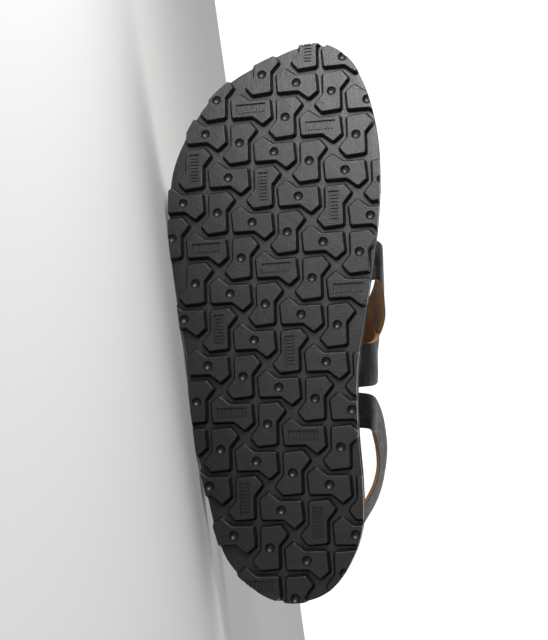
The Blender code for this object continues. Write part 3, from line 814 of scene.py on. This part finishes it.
def lugs(rubber):
    """The interlocking lugs, cut flush with the outline, each with a dimple or a label's recess."""
    blank = lug_blank()
    dimpled = dimpled_lug(blank)
    labelled = labelled_lug(blank)
    copies = [
        copy_of(labelled if has_label else dimpled, lug_turn(centre, upright))
        for centre, upright, has_label in lug_places()
    ]
    for made in (blank, dimpled, labelled):
        bpy.data.objects.remove(made)
    tread = join("lugs", copies)
    trim = sole_layer(
        "trim", 0.0, lambda share, across: -LUG_EDGE_ROUND / 4, lambda share, across: LUG_DEPTH * 3
    )
    round_rim(trim, LUG_EDGE_ROUND)
    apply_modifier(tread, "BOOLEAN", operation="INTERSECT", solver="EXACT", object=trim)
    bpy.data.objects.remove(trim)
    drop_slivers(tread)
    for vert in tread.data.vertices:
        vert.co.z += spring(vert.co.x / LENGTH)
    smooth(tread, 42)
    apply_modifier(tread, "WEIGHTED_NORMAL", keep_sharp=True)
    lay_down(tread, "outsole", "lugged_rubber", rubber)


# The straps

def leather_strip(name, points, frames, kept, lifts, width, thickness, seed):
    """A strap cut from a flat hide and laid along its route, with a slight crown and slow waves."""
    steps = len(points) - 1
    length = sum((b - a).length for a, b in zip(points, points[1:]))
    bpy.ops.object.select_all(action="DESELECT")
    bpy.ops.mesh.primitive_grid_add(x_subdivisions=steps, y_subdivisions=STRAP_COLUMNS, size=2)
    strip = bpy.context.object
    strip.name = name
    for vert in strip.data.vertices:
        i = round((vert.co.x + 1) / 2 * steps)
        across = vert.co.y
        wide, out = frames[i]
        ends = min(1.0, min(i, steps - i) / steps / WAVE_FADE)
        slow = noise.noise(Vector((i / steps * length / WAVE_LENGTH, across * 0.7, seed)))
        wave = WAVE_HEIGHT * ends * slow - CROWN * across**2
        vert.co = points[i] + wide * (across * width / 2 * kept[i]) + out * (lifts[i] + wave)
    for loop in strip.data.uv_layers[0].data:
        loop.uv = (loop.uv.x * length, loop.uv.y * width)
    turn = (strip.data.polygons[0].normal).dot(frames[0][1])
    if turn < 0:
        strip.data.flip_normals()
    return strip


def thicken(strip, thickness, leathers):
    """Gives a strip its thickness, with the grain outside, the flesh inside and raw cut edges."""
    for leather in leathers:
        strip.data.materials.append(leather)
    apply_modifier(
        strip,
        "SOLIDIFY",
        thickness=thickness,
        offset=1,
        use_even_offset=False,
        material_offset=1,
        material_offset_rim=2,
    )
    apply_modifier(
        strip, "BEVEL", width=EDGE_ROUND, segments=3, limit_method="ANGLE", angle_limit=math.radians(50)
    )
    smooth(strip, 60)


def instep_strap(name, table, seed, leathers):
    """A strap over the instep, with a foot in the sole at both ends."""
    sides = [1 if row[1] > 0 else -1 for row in (table[0], table[-1])]
    points = [over_foot(row) for row in table]
    for end, side in zip((0, -1), sides):
        points[end] = strap_foot(table[end][0], side)[0]
        points[end].z += INSOLE_THICKNESS + STRAIGHT_RISE
    points = smooth_path(points, Vector((0, 0, STRAP_RISE)), STRAP_STEPS)
    frames = strap_frames(points, foot_axis)
    points, frames = rooted(points, frames, table[0][0], sides[0], True)
    points, frames = rooted(points, frames, table[-1][0], sides[1], False)
    plain = [1.0] * len(points)
    flat = [0.0] * len(points)
    strip = leather_strip(name, points, frames, plain, flat, STRAP_WIDTH, STRAP_THICKNESS, seed)
    thicken(strip, STRAP_THICKNESS, leathers)
    lay_down(strip, "upper", "leather")


def heel_strap(route, bar, leathers):
    """The strap round the heel, through the buckle to its pointed end, with holes for the prong."""
    tip = bar + STRAP_END_OVERLAP
    wanted = [(place, 1.0) for place in route[0] if place < tip - STRAP_END_POINT]
    wanted += [(tip - STRAP_END_POINT * t, 1 - 0.66 * (1 - t) ** 2) for t in (1, 0.8, 0.6, 0.4, 0.2, 0.0)]
    stations = [at_place(route, place) for place, _ in wanted]
    points = [point for point, _, _ in stations]
    frames = [(wide, out) for _, wide, out in stations]
    kept = [share for _, share in wanted]
    lifts = [strap_lift(place, bar) for place, _ in wanted]
    strip = leather_strip(
        "heel_strap_leather", points, frames, kept, lifts, HEEL_STRAP_WIDTH, HEEL_STRAP_THICKNESS, 7.0
    )
    thicken(strip, HEEL_STRAP_THICKNESS, leathers)
    punches = []
    for k in range(-2, 2):
        point, wide, out = at_place(route, bar - BUCKLE_WIRE - PRONG_WIRE + HOLE_SPACING * k)
        along = wide.cross(out)
        bpy.ops.object.select_all(action="DESELECT")
        bpy.ops.mesh.primitive_cylinder_add(vertices=20, radius=HOLE_RADIUS, depth=0.02)
        punch = bpy.context.object
        turn = Matrix((wide, along, out)).transposed().to_4x4()
        punch.data.transform(Matrix.Translation(point) @ turn)
        punches.append(punch)
    punches = join("punches", punches)
    apply_modifier(strip, "BOOLEAN", operation="DIFFERENCE", solver="EXACT", object=punches)
    bpy.data.objects.remove(punches)
    lay_down(strip, "heel_strap", "leather")


def side_tab(route, bar, leathers):
    """The short tab out of the sole that runs up to the buckle's bar."""
    bar_middle, along, wide, out, _ = buckle_place(route, bar)
    foot = route[0][-2]
    radius = BUCKLE_WIRE / 2 + FIT_GAP
    points, frames = [], []
    for k in range(TAB_STEPS + 1):
        place = bar + radius + (foot - bar - radius) * k / TAB_STEPS
        point, here_wide, here_out = at_place(route, place)
        points.append(point)
        frames.append((here_wide, here_out))
    point, here_wide, here_out = at_place(route, route[0][-1])
    points.append(point)
    frames.append((here_wide, here_out))
    plain = [1.0] * len(points)
    flat = [0.0] * len(points)
    strip = leather_strip("side_tab_leather", points, frames, plain, flat, HEEL_STRAP_WIDTH, HEEL_STRAP_THICKNESS, 3.0)
    thicken(strip, HEEL_STRAP_THICKNESS, leathers)
    lay_down(strip, "side_tab", "leather")


# The buckle

def buckle_frame(route, bar, metal):
    """A rounded oblong of drawn wire, its bar under the strap and its far rail over it."""
    bar_middle, along, wide, out, reach = buckle_place(route, bar)
    half = HEEL_STRAP_WIDTH / 2 + BUCKLE_SIDE_PLAY + BUCKLE_WIRE / 2
    bpy.ops.object.select_all(action="DESELECT")
    bpy.ops.mesh.primitive_plane_add(size=2)
    loop = bpy.context.object
    loop.name = "buckle_wire"
    loop.data.transform(Matrix.Diagonal((half, reach / 2, 1, 1)))
    bpy.ops.object.mode_set(mode="EDIT")
    bpy.ops.mesh.select_mode(type="VERT")
    bpy.ops.mesh.select_all(action="SELECT")
    bpy.ops.mesh.bevel(offset=BUCKLE_CORNER, segments=8, affect="VERTICES")
    bpy.ops.mesh.select_all(action="SELECT")
    bpy.ops.mesh.delete(type="ONLY_FACE")
    bpy.ops.object.mode_set(mode="OBJECT")
    bpy.ops.object.convert(target="CURVE")
    loop.data.bevel_depth = BUCKLE_WIRE / 2
    loop.data.bevel_resolution = 4
    bpy.ops.object.convert(target="MESH")
    turn = Matrix((wide, along, out)).transposed().to_4x4()
    loop.data.transform(Matrix.Translation(bar_middle + along * reach / 2) @ turn)
    smooth(loop, 60)
    lay_down(loop, "buckle_frame", "buckle_metal", metal)


def buckle_prong(route, bar, metal):
    """The prong, bent from thinner wire: up from the bar through the hole and onto the far rail."""
    bar_middle, along, wide, out, reach = buckle_place(route, bar)
    clear = (BUCKLE_WIRE + PRONG_WIRE) / 2
    over_strap = strap_lift(bar, bar) + HEEL_STRAP_THICKNESS / 2 + FIT_GAP + PRONG_WIRE / 2
    spots = (
        # towards the rail, out
        (clear, 0.0),
        (clear + PRONG_WIRE * 0.8, over_strap * 0.8),
        (clear + PRONG_WIRE * 2.3, over_strap * 1.05),
        (reach * 0.65, max(over_strap * 0.72, clear)),
        (reach + BUCKLE_WIRE, clear - PRONG_WIRE * 0.2),
    )
    bpy.ops.object.select_all(action="DESELECT")
    bpy.ops.curve.primitive_nurbs_path_add()
    wire = bpy.context.object
    wire.name = "prong_wire"
    for knot, (ahead, up) in zip(wire.data.splines[0].points, spots):
        knot.co = (*(bar_middle + along * ahead + out * up), 1.0)
    wire.data.bevel_depth = PRONG_WIRE / 2
    wire.data.bevel_resolution = 4
    wire.data.use_fill_caps = True
    bpy.ops.object.convert(target="MESH")
    smooth(wire, 60)
    lay_down(wire, "buckle_prong", "buckle_metal", metal)


# Materials

def linear(code):
    """An sRGB hex colour in linear light."""
    values = [int(code[k : k + 2], 16) / 255 for k in (1, 3, 5)]
    return [v / 12.92 if v <= 0.04045 else ((v + 0.055) / 1.055) ** 2.4 for v in values] + [1.0]


def add(tree, kind, inputs=None, **settings):
    """Adds a shader node with its settings; an input is a value or another node's output."""
    node = tree.nodes.new("ShaderNode" + kind)
    for name, value in settings.items():
        setattr(node, name, value)
    for name, value in (inputs or {}).items():
        if isinstance(value, bpy.types.NodeSocket):
            tree.links.new(value, node.inputs[name])
        else:
            node.inputs[name].default_value = value
    return node


def new_material(name):
    """A material with its node tree and its shader."""
    made = bpy.data.materials.new(name)
    made.use_nodes = True
    return made, made.node_tree, made.node_tree.nodes["Principled BSDF"]


def moulded_rubber():
    """Moulded carbon-black rubber: satin, with the mould's fine grain and slow unevenness."""
    made, tree, shader = new_material("moulded_rubber")
    place = add(tree, "TexCoord").outputs["Object"]
    grain = add(tree, "TexNoise", {"Vector": place, "Scale": 1 / RUBBER_GRAIN, "Detail": 4.0, "Roughness": 0.6})
    slow = add(tree, "TexNoise", {"Vector": place, "Scale": 1 / RUBBER_SWELL, "Detail": 3.0})
    tone = add(
        tree,
        "Mix",
        {"Factor": grain.outputs["Fac"], "A": linear("#0f0f10"), "B": linear("#1f1f20")},
        data_type="RGBA",
    )
    gloss = add(
        tree, "MapRange", {"Value": grain.outputs["Fac"], "From Min": 0.3, "From Max": 0.7, "To Min": 0.30, "To Max": 0.46}
    )
    first = add(tree, "Bump", {"Height": slow.outputs["Fac"], "Strength": 1.0, "Distance": 0.00022})
    second = add(
        tree,
        "Bump",
        {"Height": grain.outputs["Fac"], "Strength": 0.8, "Distance": 0.00022, "Normal": first.outputs["Normal"]},
    )
    tree.links.new(tone.outputs["Result"], shader.inputs["Base Color"])
    tree.links.new(gloss.outputs["Result"], shader.inputs["Roughness"])
    tree.links.new(second.outputs["Normal"], shader.inputs["Normal"])
    shader.inputs["IOR"].default_value = 1.52
    return made


def ground_foam():
    """Black EVA foam, ground to shape: matt, with the open cells and scratches of the belt."""
    made, tree, shader = new_material("ground_eva_foam")
    place = add(tree, "TexCoord").outputs["Object"]
    cells = add(tree, "TexVoronoi", {"Vector": place, "Scale": 1 / FOAM_CELL})
    belt = add(tree, "TexNoise", {"Vector": place, "Scale": 1 / 0.0012, "Detail": 5.0, "Roughness": 0.65})
    tone = add(
        tree,
        "Mix",
        {"Factor": belt.outputs["Fac"], "A": linear("#171616"), "B": linear("#2d2b2a")},
        data_type="RGBA",
    )
    first = add(tree, "Bump", {"Height": cells.outputs["Distance"], "Strength": 0.5, "Distance": 0.0002})
    second = add(
        tree,
        "Bump",
        {"Height": belt.outputs["Fac"], "Strength": 0.5, "Distance": 0.0003, "Normal": first.outputs["Normal"]},
    )
    tree.links.new(tone.outputs["Result"], shader.inputs["Base Color"])
    tree.links.new(second.outputs["Normal"], shader.inputs["Normal"])
    shader.inputs["Roughness"].default_value = 0.85
    return made


def brown_suede():
    """Vegetable-tanned suede: matt brown nap, darker where it has been pressed flat."""
    made, tree, shader = new_material("brown_suede")
    place = add(tree, "TexCoord").outputs["Object"]
    nap = add(tree, "TexNoise", {"Vector": place, "Scale": 1 / 0.0006, "Detail": 6.0, "Roughness": 0.75})
    patch = add(tree, "TexNoise", {"Vector": place, "Scale": 1 / 0.03, "Detail": 3.0})
    shade = add(tree, "Math", {0: nap.outputs["Fac"], 1: patch.outputs["Fac"]}, operation="MULTIPLY")
    spread = add(tree, "MapRange", {"Value": shade.outputs[0], "From Min": 0.12, "From Max": 0.42})
    tone = add(
        tree,
        "Mix",
        {"Factor": spread.outputs["Result"], "A": linear("#4a2f1d"), "B": linear("#8a5f3d")},
        data_type="RGBA",
    )
    relief = add(tree, "Bump", {"Height": nap.outputs["Fac"], "Strength": 0.6, "Distance": 0.0003})
    tree.links.new(tone.outputs["Result"], shader.inputs["Base Color"])
    tree.links.new(relief.outputs["Normal"], shader.inputs["Normal"])
    shader.inputs["Roughness"].default_value = 0.92
    shader.inputs["Sheen Weight"].default_value = 0.25
    shader.inputs["Sheen Roughness"].default_value = 0.5
    return made


def grained_leather():
    """Black full-grain cowhide, finished on the grain side: small pebbles and fine creases."""
    made, tree, shader = new_material("black_full_grain_leather")
    flat = add(tree, "TexCoord").outputs["UV"]
    pebbles = add(
        tree, "TexVoronoi", {"Vector": flat, "Scale": 1 / PEBBLE, "Randomness": 1.0}, feature="DISTANCE_TO_EDGE"
    )
    creases = add(tree, "TexNoise", {"Vector": flat, "Scale": 1 / 0.004, "Detail": 5.0, "Distortion": 1.2})
    lines = add(tree, "MapRange", {"Value": pebbles.outputs["Distance"], "From Max": 0.12})
    first = add(tree, "Bump", {"Height": lines.outputs["Result"], "Strength": 0.5, "Distance": 0.0001})
    second = add(
        tree,
        "Bump",
        {"Height": creases.outputs["Fac"], "Strength": 0.6, "Distance": 0.0006, "Normal": first.outputs["Normal"]},
    )
    tone = add(
        tree,
        "Mix",
        {"Factor": creases.outputs["Fac"], "A": linear("#060608"), "B": linear("#101013")},
        data_type="RGBA",
    )
    gloss = add(
        tree, "MapRange", {"Value": creases.outputs["Fac"], "From Min": 0.3, "From Max": 0.7, "To Min": 0.40, "To Max": 0.58}
    )
    tree.links.new(tone.outputs["Result"], shader.inputs["Base Color"])
    tree.links.new(gloss.outputs["Result"], shader.inputs["Roughness"])
    tree.links.new(second.outputs["Normal"], shader.inputs["Normal"])
    shader.inputs["IOR"].default_value = 1.42
    return made


def flesh_leather():
    """The flesh side of the same hide, tan and unfinished, with short matted fibres."""
    made, tree, shader = new_material("tan_flesh_side")
    flat = add(tree, "TexCoord").outputs["UV"]
    fibres = add(tree, "TexNoise", {"Vector": flat, "Scale": 1 / 0.0009, "Detail": 7.0, "Roughness": 0.7})
    stains = add(tree, "TexNoise", {"Vector": flat, "Scale": 1 / 0.011, "Detail": 3.0})
    shade = add(tree, "Math", {0: fibres.outputs["Fac"], 1: stains.outputs["Fac"]}, operation="MULTIPLY")
    spread = add(tree, "MapRange", {"Value": shade.outputs[0], "From Min": 0.12, "From Max": 0.40})
    tone = add(
        tree,
        "Mix",
        {"Factor": spread.outputs["Result"], "A": linear("#5c3a1c"), "B": linear("#b07c48")},
        data_type="RGBA",
    )
    relief = add(tree, "Bump", {"Height": fibres.outputs["Fac"], "Strength": 0.7, "Distance": 0.0003})
    tree.links.new(tone.outputs["Result"], shader.inputs["Base Color"])
    tree.links.new(relief.outputs["Normal"], shader.inputs["Normal"])
    shader.inputs["Roughness"].default_value = 0.9
    shader.inputs["Sheen Weight"].default_value = 0.2
    return made


def cut_leather():
    """The strap's raw cut edge: pale tan fibres with the dark of the finish showing through."""
    made, tree, shader = new_material("cut_leather_edge")
    place = add(tree, "TexCoord").outputs["Object"]
    fibres = add(tree, "TexNoise", {"Vector": place, "Scale": 1 / 0.0007, "Detail": 5.0, "Roughness": 0.7})
    tone = add(
        tree,
        "Mix",
        {"Factor": fibres.outputs["Fac"], "A": linear("#8c5f36"), "B": linear("#d8ad7c")},
        data_type="RGBA",
    )
    relief = add(tree, "Bump", {"Height": fibres.outputs["Fac"], "Strength": 0.5, "Distance": 0.0002})
    tree.links.new(tone.outputs["Result"], shader.inputs["Base Color"])
    tree.links.new(relief.outputs["Normal"], shader.inputs["Normal"])
    shader.inputs["Roughness"].default_value = 0.8
    return made


def nickelled_wire():
    """Drawn steel wire with a warm nickel plate: polished, with faint rubbed marks."""
    made, tree, shader = new_material("nickel_plated_wire")
    place = add(tree, "TexCoord").outputs["Object"]
    marks = add(tree, "TexNoise", {"Vector": place, "Scale": 1 / 0.002, "Detail": 4.0})
    gloss = add(tree, "MapRange", {"Value": marks.outputs["Fac"], "To Min": 0.14, "To Max": 0.32})
    tree.links.new(gloss.outputs["Result"], shader.inputs["Roughness"])
    shader.inputs["Base Color"].default_value = linear("#dcd0ba")
    shader.inputs["Metallic"].default_value = 1.0
    return made


# The picture

def camera():
    """The photograph's view of the tread, rolled with the sandal and turned to its middle."""
    made = bpy.data.cameras.new("camera")
    made.lens = CAMERA_LENS_MM
    made.sensor_width = SENSOR_MM
    stand = bpy.data.objects.new("camera", made)
    bpy.context.scene.collection.objects.link(stand)
    right = Vector(CAMERA_RIGHT).normalized()
    down = Vector(CAMERA_DOWN)
    down = (down - right * down.dot(right)).normalized()
    turn = Matrix((right, -down, -right.cross(down))).transposed().to_4x4()
    stand.matrix_world = LYING @ Matrix.Translation(CAMERA_AT) @ turn @ Matrix.Rotation(CAMERA_PAN, 4, "Y")
    bpy.context.scene.camera = stand


def soft_light(name, place, aim, size, power):
    """A square area light that looks at the aim."""
    made = bpy.data.lights.new(name, "AREA")
    made.size = size
    made.energy = power
    stand = bpy.data.objects.new(name, made)
    bpy.context.scene.collection.objects.link(stand)
    place, aim = Vector(place), Vector(aim)
    stand.matrix_world = Matrix.Translation(place) @ (place - aim).to_track_quat("Z", "Y").to_matrix().to_4x4()


def stage():
    """A flat pale floor under a room that glows behind the sandal, with soft studio light from the toe's side."""
    bpy.ops.object.select_all(action="DESELECT")
    bpy.ops.mesh.primitive_plane_add(size=1)
    floor = bpy.context.object
    floor.name = "floor"
    floor.data.transform(Matrix.Diagonal((8.0, 5.0, 1.0, 1.0)))
    paper, tree, shader = new_material("white_paper")
    shader.inputs["Base Color"].default_value = linear("#f4f4f3")
    shader.inputs["Roughness"].default_value = 0.9
    floor.data.materials.append(paper)
    world = bpy.data.worlds.new("studio")
    bpy.context.scene.world = world
    world.use_nodes = True
    tree = world.node_tree
    way = add(tree, "TexCoord").outputs["Generated"]
    behind = add(tree, "VectorMath", {0: way, 1: GLOW_SIDE}, operation="DOT_PRODUCT").outputs["Value"]
    glow = add(
        tree,
        "MapRange",
        {"Value": behind, "From Min": 0.0, "From Max": 0.6, "To Min": ROOM_GLOW, "To Max": BACKDROP_GLOW},
        interpolation_type="SMOOTHSTEP",
    )
    tree.links.new(glow.outputs["Result"], tree.nodes["Background"].inputs["Strength"])
    tree.nodes["Background"].inputs["Color"].default_value = (1, 1, 1, 1)
    soft_light("key", KEY_AT, (-0.05, -0.04, 0.05), KEY_SIZE, KEY_POWER)
    bpy.context.scene.view_settings.view_transform = "Standard"


rubber = moulded_rubber()
leathers = (grained_leather(), flesh_leather(), cut_leather())
metal = nickelled_wire()
tread_sheet(rubber)
lugs(rubber)
midsole_foam(ground_foam())
footbed(brown_suede())
instep_strap("cross_strap_under", CROSS_STRAP_UNDER, 1.0, leathers)
instep_strap("cross_strap_over", CROSS_STRAP_OVER, 2.0, leathers)
instep_strap("vamp_strap", VAMP_STRAP, 4.0, leathers)
route = heel_route()
bar = route[0][-1] * BUCKLE_SHARE
heel_strap(route, bar, leathers)
side_tab(route, bar, leathers)
buckle_frame(route, bar, metal)
buckle_prong(route, bar, metal)
camera()
stage()
